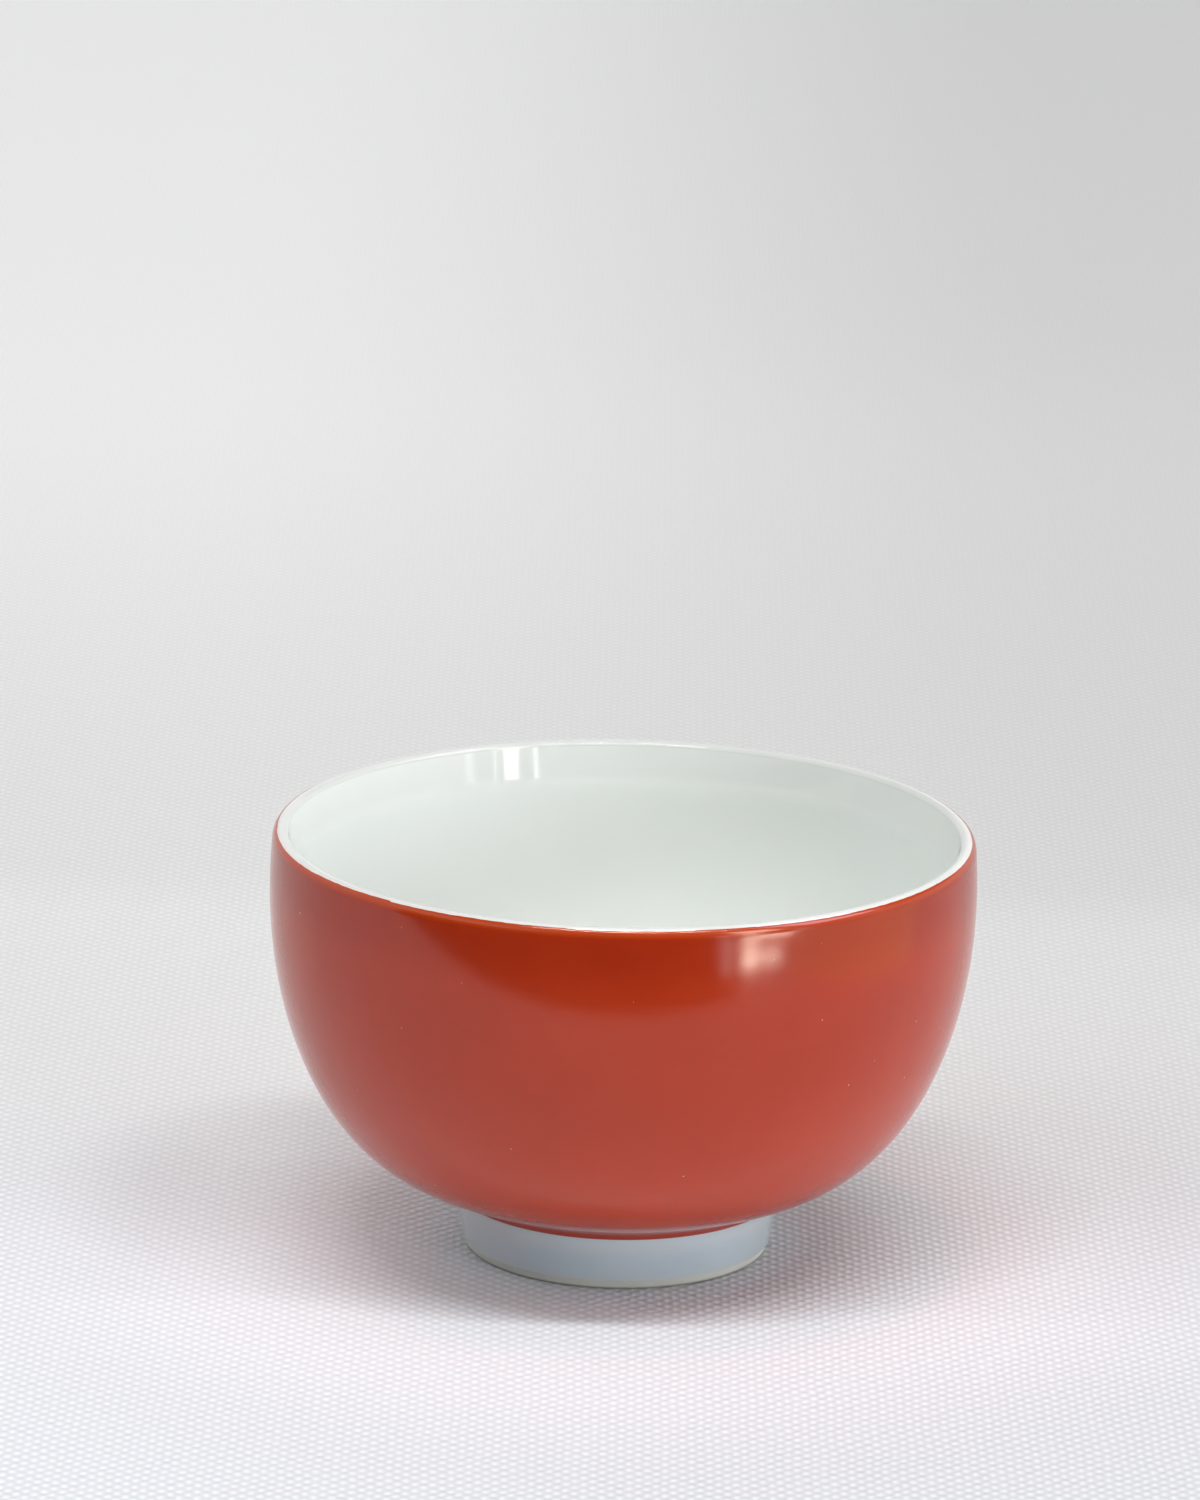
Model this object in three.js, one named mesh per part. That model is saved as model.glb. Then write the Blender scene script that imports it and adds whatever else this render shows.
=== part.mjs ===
import * as THREE from "three";

// A handleless porcelain tea cup on a ring foot, with a red enamel outside and a bare white lip.
// Millimetres and degrees, +Z up. The origin is the centre of the foot ring, on the table.

// Whole cup
const CUP_DIAMETER = 90; // over the enamel, at the widest place
const CUP_HEIGHT = 55; // from the table to the crest of the lip
const WIDEST_HEIGHT = 47.5;

// Coats on the porcelain
const GLAZE_THICKNESS = 0.3;
const ENAMEL_THICKNESS = 0.12;
const ENAMEL_LOWER_EDGE_TURN = 21; // round the fillet, counted from the foot wall
const ENAMEL_UPPER_EDGE_TILT = 42; // how far the lip has turned up where the enamel stops

// Foot ring, and the recess inside it
const FOOT_TOP_DIAMETER = 40.9; // where the foot wall runs into the fillet
const FOOT_TOP_HEIGHT = 6.1;
const FOOT_TAPER = 7.5;
const FOOT_SEAM_HEIGHT = 5.5; // the bowl is seated on the ring here
const FOOT_EDGE_WIDTH = 2.7;
const FOOT_BEVEL_HEIGHT = 0.8;
const FOOT_BEVEL_WIDTH = 0.3;
const BARE_EDGE_HEIGHT = 1.2; // the foot has no glaze below this

// Underside and belly
const FOOT_FILLET_RADIUS = 2.9;
const UNDERSIDE_SLOPE = 21.8;
const UNDERSIDE_DIAMETER = 54; // where the straight underside turns into the belly
const BELLY_LOW_FULLNESS = 0.63; // share of the belly's width that keeps the underside's slope
const BELLY_HIGH_FULLNESS = 0.46; // share of the belly's height that stays upright

// Lip
const LIP_INSET = 1.33; // from the widest wall in to the middle of the lip
const LIP_LEAN = 4.9; // how far the wall leans in under the shoulder
const LIP_SHOULDER_RADIUS = 1.8;
const LIP_CREST_RADIUS = 0.83;
const LIP_FLARE = 11; // how far the inside opens out towards the lip, which thins the wall there
const LIP_FLARE_DEPTH = 4.7;

// Inside
const FLOOR_HEIGHT = 9.3;
const FLOOR_FULLNESS = 0.64; // share of the inside radius that stays level
const INSIDE_FULLNESS = 0.85; // share of the inside height that stays upright

// Facets
const AROUND = 48;
const FILLET_STEPS = 2;
const BELLY_STEPS = 9;
const WALL_STEPS = 2;
const SHOULDER_STEPS = 2;
const CREST_STEPS = 2; // on each side of the crest
const INSIDE_STEPS = 8;

const rad = THREE.MathUtils.degToRad;
const wallRadius = CUP_DIAMETER / 2 - ENAMEL_THICKNESS;
const footTopRadius = FOOT_TOP_DIAMETER / 2;

// A station on the glazed skin: a radius, a height and the way out of the porcelain.
// A run of stations always has the porcelain on its left.
function station(r, z, outR, outZ) {
  return { r, z, outR, outZ };
}

function sunk(point, depth) {
  return new THREE.Vector2(point.r - depth * point.outR, point.z - depth * point.outZ);
}

// A turned round of the skin. A tilt of 0 faces outwards, 90 up, 180 the axis, and -90 down.
// A negative radius gives a hollow round, as in a fillet.
function round(centre, radius, fromTilt, toTilt, steps) {
  const run = [];
  for (let i = 0; i <= steps; i += 1) {
    const tilt = rad(fromTilt + ((toTilt - fromTilt) * i) / steps);
    const outR = Math.cos(tilt);
    const outZ = Math.sin(tilt);
    run.push(station(centre.x + radius * outR, centre.y + radius * outZ, outR, outZ));
  }
  return run;
}

function bend(from, fromPull, toPull, to, steps) {
  const curve = new THREE.CubicBezierCurve(from, fromPull, toPull, to);
  const run = [];
  for (let i = 0; i <= steps; i += 1) {
    const point = curve.getPoint(i / steps);
    const along = curve.getTangent(i / steps);
    run.push(station(point.x, point.y, along.y, -along.x));
  }
  return run;
}

// Runs that follow each other share a station, so all but the first drop their own copy.
function joined(...runs) {
  return runs.flatMap((run, i) => (i === 0 ? run : run.slice(1)));
}

function footWall(height) {
  const r = footTopRadius - (FOOT_TOP_HEIGHT - height) * Math.tan(rad(FOOT_TAPER));
  return station(r, height, Math.cos(rad(FOOT_TAPER)), -Math.sin(rad(FOOT_TAPER)));
}

function footFillet(fromTilt, toTilt, steps) {
  const centre = new THREE.Vector2(
    footTopRadius + FOOT_FILLET_RADIUS * Math.cos(rad(FOOT_TAPER)),
    FOOT_TOP_HEIGHT - FOOT_FILLET_RADIUS * Math.sin(rad(FOOT_TAPER)),
  );
  return round(centre, -FOOT_FILLET_RADIUS, fromTilt, toTilt, steps);
}

function belly(undersideStart) {
  const slope = Math.tan(rad(UNDERSIDE_SLOPE));
  const radius = UNDERSIDE_DIAMETER / 2;
  const low = new THREE.Vector2(radius, undersideStart.z + (radius - undersideStart.r) * slope);
  const high = new THREE.Vector2(wallRadius, WIDEST_HEIGHT);
  const lowReach = BELLY_LOW_FULLNESS * (high.x - low.x);
  const lowPull = new THREE.Vector2(low.x + lowReach, low.y + lowReach * slope);
  const highPull = new THREE.Vector2(high.x, high.y - BELLY_HIGH_FULLNESS * (high.y - low.y));
  return bend(low, lowPull, highPull, high, BELLY_STEPS);
}

function upperWall(shoulderStart) {
  const low = new THREE.Vector2(wallRadius, WIDEST_HEIGHT);
  const high = new THREE.Vector2(shoulderStart.r, shoulderStart.z);
  const reach = (high.y - low.y) / 3;
  const lowPull = new THREE.Vector2(low.x, low.y + reach);
  const highPull = new THREE.Vector2(high.x + reach * Math.tan(rad(LIP_LEAN)), high.y - reach);
  return bend(low, lowPull, highPull, high, WALL_STEPS);
}

const lipCentre = new THREE.Vector2(wallRadius - LIP_INSET, CUP_HEIGHT - LIP_CREST_RADIUS);

function lipShoulder() {
  const tilt = rad(ENAMEL_UPPER_EDGE_TILT);
  const back = LIP_SHOULDER_RADIUS - LIP_CREST_RADIUS;
  const centre = new THREE.Vector2(
    lipCentre.x - back * Math.cos(tilt),
    lipCentre.y - back * Math.sin(tilt),
  );
  return round(centre, LIP_SHOULDER_RADIUS, LIP_LEAN, ENAMEL_UPPER_EDGE_TILT, SHOULDER_STEPS);
}

function lipCrest() {
  return joined(
    round(lipCentre, LIP_CREST_RADIUS, ENAMEL_UPPER_EDGE_TILT, 90, CREST_STEPS),
    round(lipCentre, LIP_CREST_RADIUS, 90, 180 - LIP_FLARE, CREST_STEPS),
  );
}

function inside(crestEnd) {
  const flareWidth = LIP_FLARE_DEPTH * Math.tan(rad(LIP_FLARE));
  const high = new THREE.Vector2(crestEnd.r - flareWidth, crestEnd.z - LIP_FLARE_DEPTH);
  const low = new THREE.Vector2(0, FLOOR_HEIGHT);
  const highPull = new THREE.Vector2(high.x, high.y - INSIDE_FULLNESS * (high.y - low.y));
  const lowPull = new THREE.Vector2(FLOOR_FULLNESS * high.x, low.y);
  const wallAndFloor = bend(high, highPull, lowPull, low, INSIDE_STEPS);
  return [crestEnd, ...wallAndFloor.slice(0, -1), station(0, FLOOR_HEIGHT, 0, 1)];
}

// The recess under the cup: a level ceiling, a square corner and the foot's inner wall
function recess() {
  const radius = footWall(BARE_EDGE_HEIGHT).r - FOOT_EDGE_WIDTH;
  const ceiling = FOOT_SEAM_HEIGHT - GLAZE_THICKNESS;
  return [
    station(0, ceiling, 0, -1),
    station(radius, ceiling, -1, -1),
    station(radius, BARE_EDGE_HEIGHT, -1, 0),
  ];
}

// The whole skin, split where one coat hands over to the next
function skinRuns() {
  const enamelTilt = -FOOT_TAPER - ENAMEL_LOWER_EDGE_TURN;
  const seam = footWall(FOOT_SEAM_HEIGHT - GLAZE_THICKNESS * Math.sin(rad(FOOT_TAPER)));
  const fillet = footFillet(enamelTilt, UNDERSIDE_SLOPE - 90, FILLET_STEPS);
  const shoulder = lipShoulder();
  const crest = lipCrest();
  return {
    foot: [footWall(BARE_EDGE_HEIGHT), seam, ...footFillet(-FOOT_TAPER, enamelTilt, 1)],
    outside: [...fillet, ...joined(belly(fillet.at(-1)), upperWall(shoulder[0]), shoulder)],
    lip: crest,
    inside: inside(crest.at(-1)),
    recess: recess(),
  };
}

// A coat's outline goes up its skin and back down its own back, from the axis where it reaches it.
function coatOutline(run, skinDepth, backDepth) {
  const skin = run.map((point) => sunk(point, skinDepth));
  const back = run.map((point) => sunk(point, backDepth)).reverse();
  if (run[0].r === 0) return [...skin, ...back];
  if (run.at(-1).r === 0) return [...back, ...skin];
  return [...skin, ...back, skin[0]];
}

function bowlOutline(skin) {
  const run = joined(skin.foot.slice(1), skin.outside, skin.lip, skin.inside);
  return [
    new THREE.Vector2(0, FOOT_SEAM_HEIGHT),
    sunk(skin.recess[1], GLAZE_THICKNESS),
    ...run.map((point) => sunk(point, GLAZE_THICKNESS)),
  ];
}

function footRingOutline(skin) {
  const bevel = sunk(footWall(FOOT_BEVEL_HEIGHT), GLAZE_THICKNESS);
  const [bareEdge, seam] = skin.foot.map((point) => sunk(point, GLAZE_THICKNESS));
  const innerTop = sunk(skin.recess[1], GLAZE_THICKNESS);
  const innerEdge = sunk(skin.recess[2], GLAZE_THICKNESS);
  const innerContact = new THREE.Vector2(innerEdge.x + FOOT_BEVEL_WIDTH, 0);
  return [
    innerContact,
    new THREE.Vector2(bevel.x - FOOT_BEVEL_WIDTH, 0),
    bevel,
    bareEdge,
    seam,
    innerTop,
    innerEdge,
    new THREE.Vector2(innerEdge.x, FOOT_BEVEL_HEIGHT),
    innerContact,
  ];
}

// Finishes
function biscuit() {
  return new THREE.MeshStandardMaterial({ color: 0xd9d6cb, roughness: 0.75, metalness: 0 });
}

function celadonGlaze() {
  return new THREE.MeshStandardMaterial({ color: 0xdbe4df, roughness: 0.12, metalness: 0 });
}

function lipGlaze() {
  return new THREE.MeshStandardMaterial({ color: 0xf2f3ee, roughness: 0.2, metalness: 0 });
}

function footGlaze() {
  return new THREE.MeshStandardMaterial({ color: 0xbcc4cb, roughness: 0.2, metalness: 0 });
}

function redEnamel() {
  return new THREE.MeshStandardMaterial({ color: 0xb23a22, roughness: 0.16, metalness: 0 });
}

function turned(name, outline, material) {
  const geometry = new THREE.LatheGeometry(outline, AROUND);
  geometry.rotateX(Math.PI / 2);
  const mesh = new THREE.Mesh(geometry, material);
  mesh.name = name;
  return mesh;
}

function teaCup() {
  const skin = skinRuns();
  const glazed = (run) => coatOutline(run, 0, GLAZE_THICKNESS);
  const cup = new THREE.Group();
  cup.add(
    turned("porcelain_bowl", bowlOutline(skin), biscuit()),
    turned("foot_ring", footRingOutline(skin), biscuit()),
    turned("inside_glaze", glazed(skin.inside), celadonGlaze()),
    turned("lip_glaze", glazed(skin.lip), lipGlaze()),
    turned("outside_glaze", glazed(skin.outside), celadonGlaze()),
    turned("foot_glaze", glazed(skin.foot), footGlaze()),
    turned("recess_glaze", glazed(skin.recess), footGlaze()),
    turned("red_enamel", coatOutline(skin.outside, -ENAMEL_THICKNESS, 0), redEnamel()),
  );
  return cup;
}

export default teaCup();
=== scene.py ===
import math
import random
from collections import namedtuple

import bpy
from mathutils import Matrix, Vector


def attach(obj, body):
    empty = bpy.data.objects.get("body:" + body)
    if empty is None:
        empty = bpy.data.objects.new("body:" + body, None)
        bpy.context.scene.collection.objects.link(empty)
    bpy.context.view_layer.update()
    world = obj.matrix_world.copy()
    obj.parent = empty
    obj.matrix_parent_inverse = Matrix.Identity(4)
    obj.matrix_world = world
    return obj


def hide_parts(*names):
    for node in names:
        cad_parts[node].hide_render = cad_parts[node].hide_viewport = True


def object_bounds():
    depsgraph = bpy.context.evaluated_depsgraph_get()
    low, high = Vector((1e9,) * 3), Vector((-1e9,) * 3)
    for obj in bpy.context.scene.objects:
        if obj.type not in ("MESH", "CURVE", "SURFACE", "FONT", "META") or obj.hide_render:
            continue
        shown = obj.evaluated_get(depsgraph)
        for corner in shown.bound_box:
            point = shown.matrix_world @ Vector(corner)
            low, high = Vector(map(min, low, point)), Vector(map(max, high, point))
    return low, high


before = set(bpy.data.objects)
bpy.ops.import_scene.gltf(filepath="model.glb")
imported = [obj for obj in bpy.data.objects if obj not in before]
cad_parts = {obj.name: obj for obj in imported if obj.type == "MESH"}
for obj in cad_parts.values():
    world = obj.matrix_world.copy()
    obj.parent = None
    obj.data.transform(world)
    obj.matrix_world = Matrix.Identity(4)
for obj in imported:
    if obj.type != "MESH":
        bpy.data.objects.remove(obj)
cad_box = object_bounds()

# A handleless porcelain tea cup on a ring foot: red enamel outside, pale glaze inside, bare white lip.
# Metres and degrees, +Z up, with the origin at the centre of the foot ring on the table.

# Whole cup
CUP_RADIUS = cad_box[1].x
CUP_HEIGHT = cad_box[1].z
WIDEST_HEIGHT = 0.0475

# Coats on the porcelain
GLAZE_THICKNESS = 0.0003
ENAMEL_THICKNESS = 0.00012
ENAMEL_LOWER_EDGE_TURN = 21  # round the fillet, counted from the foot wall
ENAMEL_UPPER_EDGE_TILT = 42  # how far the lip has turned up where the enamel stops
ENAMEL_EDGE_THICKNESS = 0.00004  # the painted coat thins out to this at its two edges
ENAMEL_EDGE_FADE = 0.0005
LIP_GLAZE_TUCK = 16  # degrees that the white glaze of the lip goes on under the enamel

# Hand-painted upper edge of the enamel
BRUSH_SEED = 11
BRUSH_REACH = 0.0011  # how far down the enamel moves with its edge
STROKE_LENGTHS = (0.12, 0.36)  # shortest and longest, in radians round the cup
STROKE_STEP = 0.00005
BRISTLE_WAVES = 5
BRISTLE_COUNTS = (40, 160)  # fewest and most to the whole turn
BRISTLE_HEIGHT = 0.000005

# Foot ring, and the recess inside it
FOOT_TOP_RADIUS = 0.02045
FOOT_TOP_HEIGHT = 0.0061
FOOT_TAPER = 7.5
FOOT_SEAM_HEIGHT = 0.0055
FOOT_EDGE_WIDTH = 0.0027
FOOT_BEVEL_HEIGHT = 0.0008
FOOT_BEVEL_WIDTH = 0.0003
BARE_EDGE_HEIGHT = 0.0012
RECESS_CORNER_RADIUS = 0.0022
RECESS_RINGS = (0, 0.3, 0.6)  # across its flat middle, as shares of its radius

# Underside and belly
FOOT_FILLET_RADIUS = 0.0029
UNDERSIDE_SLOPE = 21.8
UNDERSIDE_RADIUS = 0.027
BELLY_LOW_FULLNESS = 0.63
BELLY_HIGH_FULLNESS = 0.46

# Lip
LIP_INSET = 0.00133
LIP_LEAN = 4.9
LIP_SHOULDER_RADIUS = 0.0018
LIP_CREST_RADIUS = 0.00083
LIP_FLARE = 11
LIP_FLARE_DEPTH = 0.0047
LIP_FLARE_ROUND = 0.0095  # radius of the soft turn from the flare into the upright wall

# Inside
FLOOR_HEIGHT = 0.0093
FLOOR_FULLNESS = 0.64
INSIDE_FULLNESS = 0.85

# Fineness of the profiles, in steps
FOOT_BEVEL_STEPS = 6
FOOT_WALL_STEPS = 4
GLAZED_FILLET_STEPS = 5
ENAMELLED_FILLET_STEPS = 10
BELLY_STEPS = 44
UPPER_WALL_STEPS = 8
TUCK_STEPS = 4
SHOULDER_STEPS = 10
CREST_STEPS = 22
FLARE_STEPS = 8
INSIDE_STEPS = 52
RECESS_CORNER_STEPS = 10

# Fineness round the cup: a wedge of so many steps is spun, then doubled until it closes
WEDGE_STEPS_ENAMEL = 42
WEDGE_STEPS_GLAZE = 24
WEDGE_STEPS_HIDDEN = 16
DOUBLINGS = 4
MERGE_DISTANCE = 1e-7
SHARP_EDGE = 38

# Red enamel. A pair that ends in X, Y or Z says from where to where along that axis a tone changes,
# in DEPTH from the top of the lip down, in OFFSET from its crest out, and in REACH from the cup's axis.
ENAMEL_DARK = (0.30, 0.0185, 0.0025)
ENAMEL_LIGHT = (0.50, 0.042, 0.0065)
ENAMEL_THIN = (0.54, 0.075, 0.012)
ENAMEL_THIN_DEPTH = (0.0014, 0.0005)
ENAMEL_CLOUD = 0.011
ENAMEL_STREAK = 0.00045
ENAMEL_STREAK_STRETCH = (26, 26, 1)
ENAMEL_SKIN = 0.0016
ENAMEL_SKIN_RELIEF = 0.000012
ENAMEL_ROUGHNESS = (0.14, 0.16)
# Painted light and shade on the enamel: lighter from below the lip shoulder down the belly, darker again
# on the underside over the foot
PAINTED_LIGHT_BELOW_SHOULDER_Z = (0.052, 0.045)
PAINTED_LIGHT_LOW_ON_BELLY_Z = (0.045, 0.015)
PAINTED_SHADE_OVER_FOOT_Z = (0.0165, 0.012)
UNDERSIDE_DULL_Z = (0.0105, 0.0080)
PINHOLE = (0.75, 0.50, 0.40)
PINHOLE_SPACING = 0.0038
PINHOLE_RADIUS = 0.00014

# Glazes
GLAZE_IOR = 1.5
GLAZE_WAVE = 0.0030
GLAZE_WAVE_RELIEF = 0.000004
CELADON_PALE = (0.865, 0.895, 0.88)
CELADON_DEEP_AND_SHADED = (0.79, 0.815, 0.78)
# Painted shade on the upturned flare under the lip, which the lamps overhead light more
CELADON_PAINTED_SHADE_ON_FLARE = (0.65, 0.66, 0.64)
CELADON_PAINTED_SHADE_DEPTH = (0.0062, 0.0038)
# Painted light and shade inside: the glaze is paler on the left wall, where the light from the right
# falls, and darker towards the right
CELADON_PAINTED_SHADE_X = (-0.040, 0.010)
CELADON_CLOUD = 0.014
CELADON_ROUGHNESS = 0.05
LIP_DARK = (0.75, 0.75, 0.725)
LIP_LIGHT = (0.81, 0.81, 0.785)
LIP_INNER = (0.68, 0.70, 0.675)
LIP_INNER_OFFSET = (0.0002, -0.0005)
LIP_ROUGHNESS = 0.03
FOOT_DEEP = (0.475, 0.575, 0.635)
FOOT_PALE = (0.53, 0.63, 0.69)
FOOT_THIN_TOP = (0.64, 0.69, 0.70)
FOOT_THIN_TOP_WIDTH = 0.0022
FOOT_THIN_EDGE = (0.58, 0.615, 0.60)
FOOT_THIN_EDGE_WIDTH = 0.0010
# Painted light on the left of the foot and painted shade at its right edge
FOOT_PAINTED_LIGHT = (0.66, 0.66, 0.67)
FOOT_PAINTED_LIGHT_X = (-0.006, -0.018)
FOOT_PAINTED_SHADE = (0.43, 0.49, 0.49)
FOOT_PAINTED_SHADE_X = (0.012, 0.020)
FOOT_WAVE = 0.0018
FOOT_WAVE_RELIEF = 0.00002
FOOT_ROUGHNESS = 0.13
SMALL_CLOUD = 0.006

# Biscuit
BISCUIT_DARK = (0.51, 0.52, 0.475)
BISCUIT_LIGHT = (0.66, 0.67, 0.62)
# Painted contact shadow along the bottom of the foot ring, where it stands on the cloth
BISCUIT_PAINTED_CONTACT_SHADOW = (0.25, 0.24, 0.22)
BISCUIT_CONTACT_SHADOW_Z = (0.00045, 0.00015)
BISCUIT_CLOUD = 0.004
BISCUIT_GRAIN = 0.0003
BISCUIT_GRAIN_RELIEF = 0.00005
BISCUIT_ROUGHNESS = 0.8

# Table cloth
CLOTH_REACH = 3.0
THREAD_PITCH = 0.001055
THREAD_RELIEF = 0.00018
THREAD_DRIFT = 0.0009
THREAD_DRIFT_SIZE = 0.008
SLUB_SIZE = 0.0015
SLUB_STRETCH = (2, 1, 1)
# Painted light: the cloth is bluer in front of the cup, a painted tint of the cooler light there; its
# weave also shows more there
THREAD_IN_FRONT = (0.91, 0.935, 0.975)
THREAD_BEHIND = (0.865, 0.865, 0.865)
GAP_IN_FRONT = (0.67, 0.69, 0.735)
GAP_BEHIND = (0.735, 0.735, 0.735)
CLOTH_FRONT_Y = (0.10, -0.03)
CLOTH_LEFT_X = (-0.016, -0.036)
# Painted: the cloth in the cup's shadow round its foot is made less red, against the red light the
# enamel bounces there
SHADOW_COOLING_TINT = (0.92, 1, 1)
SHADOW_COOLING_REACH = (0.050, 0.040)
CLOTH_ROUGHNESS = 0.85
WEAVE_CALM_Y = (0.45, 0.02)
# Painted light and shade on the cloth: shade behind the cup and to its right, light in front of its foot
# and beside it
SHADE_Y = (-0.02, 0.03)
DEEPER_SHADE_Y = (0.14, 0.17)
FAR_LIGHT_Y = (0.18, 0.50)
RIGHT_SHADE_X = (-0.09, 0.10)
RIGHT_SHADE_Y = (0.05, 0.60)
FOOT_LIGHT_REACH = (0.090, 0.045)
FOOT_LIGHT_Y = (-0.020, -0.032)
LEFT_FLANK_X = (-0.064, -0.044)
LEFT_FLANK_Y = (-0.036, -0.004)
RIGHT_FLANK_START_X = (0.012, 0.028)
RIGHT_FLANK_END_X = (0.075, 0.045)
RIGHT_FLANK_Y = (-0.034, -0.018)
FLANKS_END_Y = (0.055, 0.030)

# The camera, as the photograph has it
FRAME_WIDTH = 1200
FRAME_HEIGHT = 1500
FOCAL_PIXELS = 8000
CAMERA_DISTANCE = 1.024
CAMERA_ELEVATION = 17.2275
CAMERA_AIM = Vector((0, 0, 0.030))
CAMERA_YAW = -0.1892
CAMERA_PITCH = 1.9123
CAMERA_ROLL = 1.2631
SENSOR_WIDTH = 36
CLIP_START = 0.05
CLIP_END = 20

# Lamps and room
WHITE = (1, 1, 1)
LAMP_DISTANCE = 3.0
OVERHEAD_SHIFT = 0.3
ROOM_COLOUR = (0.97, 0.98, 1.0)
ROOM_LIGHT = 0.05
ROOM_IN_GLOSS = 0.75
ROOM_REACH = 1.2
CEILING_HEIGHT = 0.6

# What the gloss shows. The azimuths and distances are seen from where the enamel shows the window.
CARD_VIEWPOINT = Vector((0.015, -0.042, 0))
CARD_LIFT = 0.0005
UPPER_CARD_LIFT = 2 * CARD_LIFT
CLOTH_EDGE = 0.148  # how far in front of the cup the cloth ends in its reflection
DARK = (0.004, 0.004, 0.004)
DARK_LEFT = -78
DARK_RIGHT = 38
DARK_PANELS = 12
DARK_CEILING_X = 0.35
DARK_CEILING_HALF_WIDTH = 0.80
GREY = (0.1, 0.1, 0.1)
WARM = (1.0, 0.84, 0.68)
ROSE = (1.0, 0.85, 0.85)
ICE = (0.95, 1, 1)
TAUPE = (0.35, 0.33, 0.30)
SAND = (0.64, 0.52, 0.38)
MAUVE = (0.95, 0.78, 1.0)
WINDOW_DISTANCE = 2.3
WINDOW_LEFT = 38.5
WINDOW_RIGHT = 44.5
WINDOW_IMAGE_RIGHT = 43.5  # its image on the table ends here, and the streak beside it starts
WINDOW_IMAGE_START = 0.200
WINDOW_IMAGE_DIMS = 0.26
WINDOW_IMAGE_END = 0.60
GLOW_END = 0.275
STREAK_START = 0.43
UPPER_WINDOW_DISTANCE = ROOM_REACH - 0.6
PALE_CEILING_HEIGHT = CEILING_HEIGHT - 0.01
PANE_DISTANCE = ROOM_REACH - 0.1
PANE_TOP = 0.25
ROOF_LIGHTS = 17  # in a row from right to left
ROOF_LIGHT_FIRST = 0.200
ROOF_LIGHT_PITCH = 0.024
ROOF_LIGHT_ROW = -0.199
ROOF_LIGHT_HALF_WIDTH = 0.005
ROOF_LIGHT_HALF_LENGTH = 0.02
ROOF_LIGHT_HEIGHT = CEILING_HEIGHT - 0.02
ROOF_LIGHT_COLOUR = (1.0, 0.97, 0.90)
ROOF_LIGHT_GLOW = 130

wall_radius = CUP_RADIUS - ENAMEL_THICKNESS
lip_centre = (wall_radius - LIP_INSET, CUP_HEIGHT - LIP_CREST_RADIUS)

# Profiles
Station = namedtuple("Station", "r z out_r out_z")  # radius, height, way out of the porcelain


def sunk(point, depth):
    return (point.r - depth * point.out_r, point.z - depth * point.out_z)


def rounding(centre, radius, from_tilt, to_tilt, steps):
    """An arc of stations. A tilt of 0 faces outwards, 90 up, 180 the axis, and -90 down."""
    run = []
    for i in range(steps + 1):
        tilt = math.radians(from_tilt + (to_tilt - from_tilt) * i / steps)
        out_r, out_z = math.cos(tilt), math.sin(tilt)
        run.append(Station(centre[0] + radius * out_r, centre[1] + radius * out_z, out_r, out_z))
    return run


def bend(start, start_pull, end_pull, end, steps):
    """A curve of stations between two ends, drawn by its pulls, with the porcelain on its left."""
    run = []
    for i in range(steps + 1):
        t = i / steps
        weights = ((1 - t) ** 3, 3 * t * (1 - t) ** 2, 3 * t * t * (1 - t), t**3)
        slopes = (-3 * (1 - t) ** 2, 3 * (1 - t) * (1 - 3 * t), 3 * t * (2 - 3 * t), 3 * t * t)
        pulls = (start, start_pull, end_pull, end)
        point = [sum(w * pull[axis] for w, pull in zip(weights, pulls)) for axis in (0, 1)]
        along = [sum(w * pull[axis] for w, pull in zip(slopes, pulls)) for axis in (0, 1)]
        length = math.hypot(*along)
        run.append(Station(point[0], point[1], along[1] / length, -along[0] / length))
    return run


def joined(*runs):
    return [point for i, run in enumerate(runs) for point in (run if i == 0 else run[1:])]


def foot_wall(height):
    taper = math.radians(FOOT_TAPER)
    radius = FOOT_TOP_RADIUS - (FOOT_TOP_HEIGHT - height) * math.tan(taper)
    return Station(radius, height, math.cos(taper), -math.sin(taper))


def foot_fillet(from_tilt, to_tilt, steps):
    taper = math.radians(FOOT_TAPER)
    centre = (
        FOOT_TOP_RADIUS + FOOT_FILLET_RADIUS * math.cos(taper),
        FOOT_TOP_HEIGHT - FOOT_FILLET_RADIUS * math.sin(taper),
    )
    return rounding(centre, -FOOT_FILLET_RADIUS, from_tilt, to_tilt, steps)


def belly(underside_start):
    slope = math.tan(math.radians(UNDERSIDE_SLOPE))
    low = (UNDERSIDE_RADIUS, underside_start.z + (UNDERSIDE_RADIUS - underside_start.r) * slope)
    high = (wall_radius, WIDEST_HEIGHT)
    reach = BELLY_LOW_FULLNESS * (high[0] - low[0])
    low_pull = (low[0] + reach, low[1] + reach * slope)
    high_pull = (high[0], high[1] - BELLY_HIGH_FULLNESS * (high[1] - low[1]))
    return bend(low, low_pull, high_pull, high, BELLY_STEPS)


def upper_wall(shoulder_start):
    low = (wall_radius, WIDEST_HEIGHT)
    high = (shoulder_start.r, shoulder_start.z)
    reach = (high[1] - low[1]) / 3
    high_pull = (high[0] + reach * math.tan(math.radians(LIP_LEAN)), high[1] - reach)
    return bend(low, (low[0], low[1] + reach), high_pull, high, UPPER_WALL_STEPS)


def shoulder_centre():
    tilt = math.radians(ENAMEL_UPPER_EDGE_TILT)
    back = LIP_SHOULDER_RADIUS - LIP_CREST_RADIUS
    return (lip_centre[0] - back * math.cos(tilt), lip_centre[1] - back * math.sin(tilt))


def lip_shoulder(from_tilt, steps):
    centre = shoulder_centre()
    return rounding(centre, LIP_SHOULDER_RADIUS, from_tilt, ENAMEL_UPPER_EDGE_TILT, steps)


def lip_crest():
    inner_tilt = 180 - LIP_FLARE
    return rounding(lip_centre, LIP_CREST_RADIUS, ENAMEL_UPPER_EDGE_TILT, inner_tilt, CREST_STEPS)


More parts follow.
